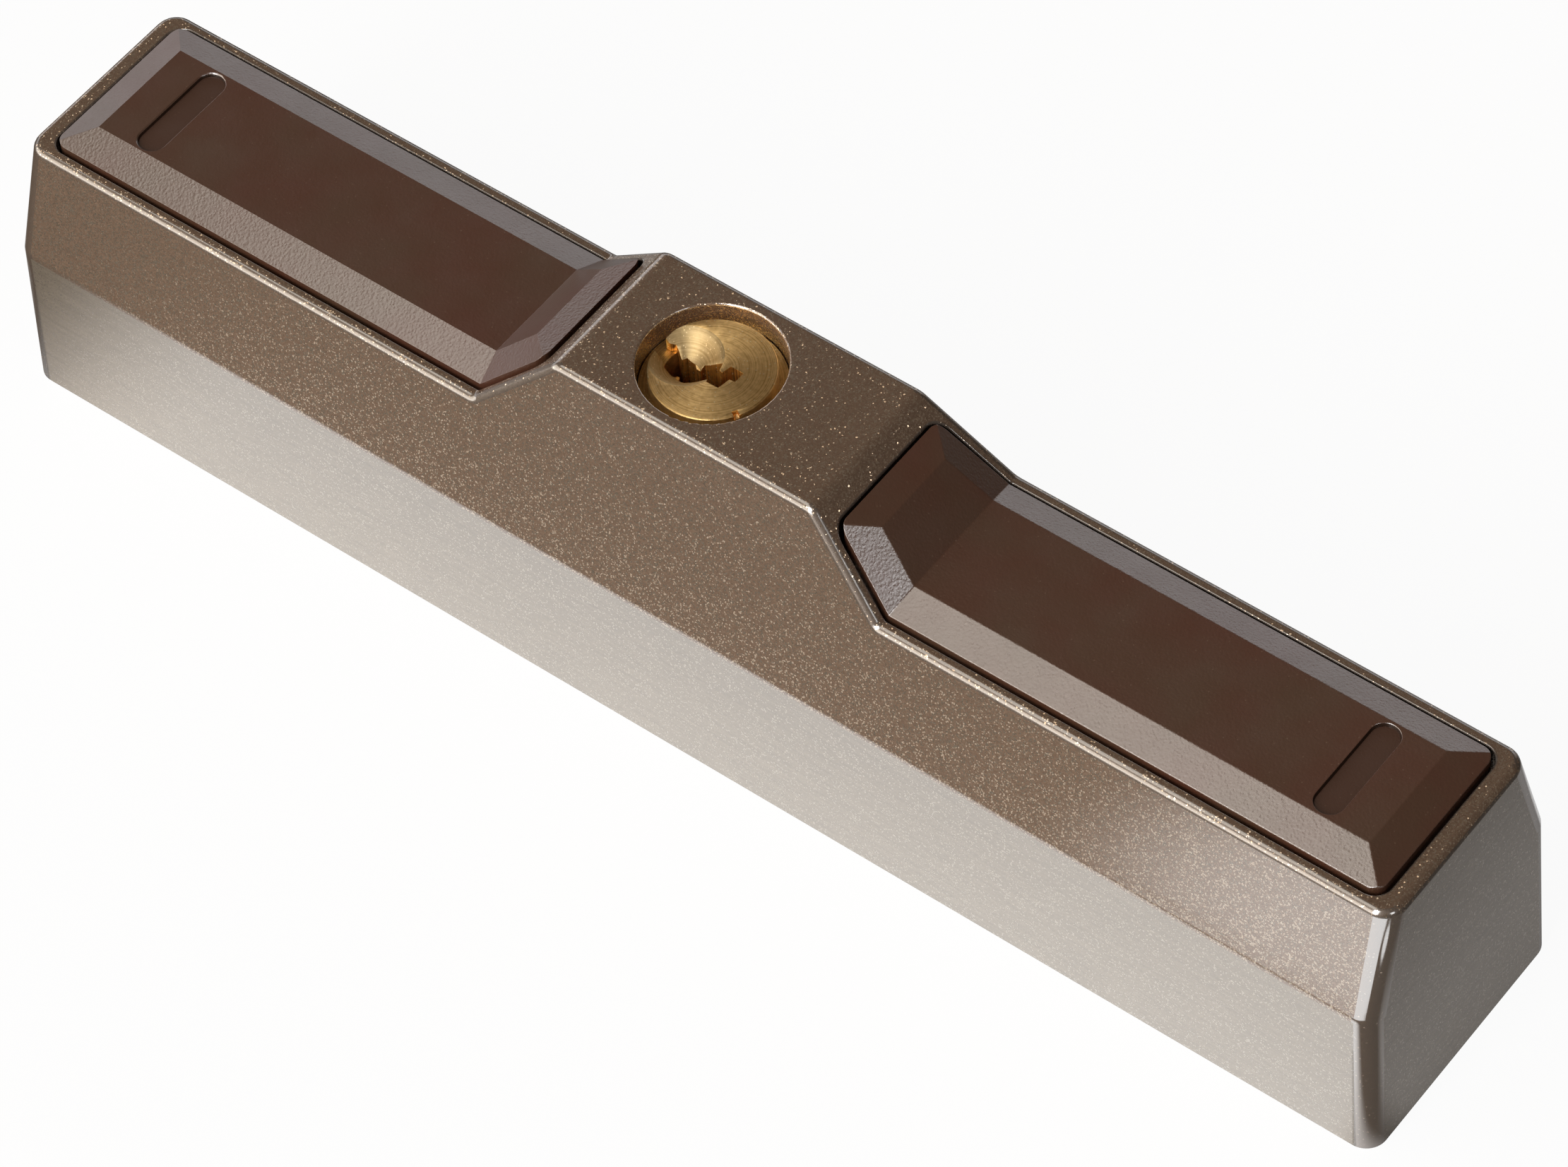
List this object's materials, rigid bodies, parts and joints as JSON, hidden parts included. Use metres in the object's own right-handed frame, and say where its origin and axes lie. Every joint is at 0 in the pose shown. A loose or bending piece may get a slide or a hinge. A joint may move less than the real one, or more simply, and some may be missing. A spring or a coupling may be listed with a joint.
{
  "type": "window security lock",
  "caption": "Surface-mounted window security lock: long faceted die-cast case, key cylinder in its raised middle, snap-in screw covers and key-driven steel bolts.",
  "frame": {"origin": "centre of the mounting face", "axes": "+X along the case, +Y across it towards the bolts, +Z away from the mounting surface"},
  "size_m": [0.16, 0.0292, 0.0395],
  "materials": {
    "case_coat": "fine-textured metallic bronze powder coat on zinc die-casting",
    "cover_plastic": "dark brown moulded plastic with a fine leather grain",
    "cylinder_brass": "turned brass with concentric tool marks on the face",
    "pin_brass": "turned, bright",
    "plate_zinc": "zinc-plated sheet steel",
    "drive_steel": "plain blanked steel, lightly oiled",
    "bolt_steel": "hardened steel, ground",
    "screw_steel": "zinc-plated steel",
    "spring_steel": "spring steel wire"
  },
  "bodies": {
    "case": {"housing": "case_coat", "cover_left": "cover_plastic", "cover_right": "cover_plastic", "base_plate": "plate_zinc", "base_screws": "screw_steel", "cylinder_shell": "cylinder_brass", "driver_pins": "pin_brass", "pin_springs": "spring_steel", "pin_chamber_cap": "pin_brass", "retainer_plate": "plate_zinc", "retainer_screws": "screw_steel"},
    "plug": {"cylinder_plug": "cylinder_brass", "key_pins": "pin_brass", "plug_circlip": "spring_steel", "pinion": "drive_steel"},
    "slide": {"drive_slide": "drive_steel"},
    "left_bolt": {"bolt_left": "bolt_steel", "bolt_pin_left": "bolt_steel"},
    "right_bolt": {"bolt_right": "bolt_steel", "bolt_pin_right": "bolt_steel"}
  },
  "joints": [
    {"name": "key_turn", "type": "hinge", "parent": "case", "child": "plug", "pos_m": [-0.00295, 0, 0.02], "axis": [0, 0, -1], "range_deg": [0, 90]},
    {"name": "slide_travel", "type": "slide", "parent": "case", "child": "slide", "axis": [1, 0, 0], "range_m": [0, 0.01099]},
    {"name": "left_bolt_throw", "type": "slide", "parent": "case", "child": "left_bolt", "axis": [0, 1, 0], "range_m": [0, 0.011]},
    {"name": "right_bolt_throw", "type": "slide", "parent": "case", "child": "right_bolt", "axis": [0, 1, 0], "range_m": [0, 0.011]}
  ],
  "couplings": [
    {"joint": "key_turn", "follows": "slide_travel", "rad_per_m": 142.86},
    {"joint": "left_bolt_throw", "follows": "slide_travel", "ratio": 1},
    {"joint": "right_bolt_throw", "follows": "slide_travel", "ratio": 1}
  ]
}
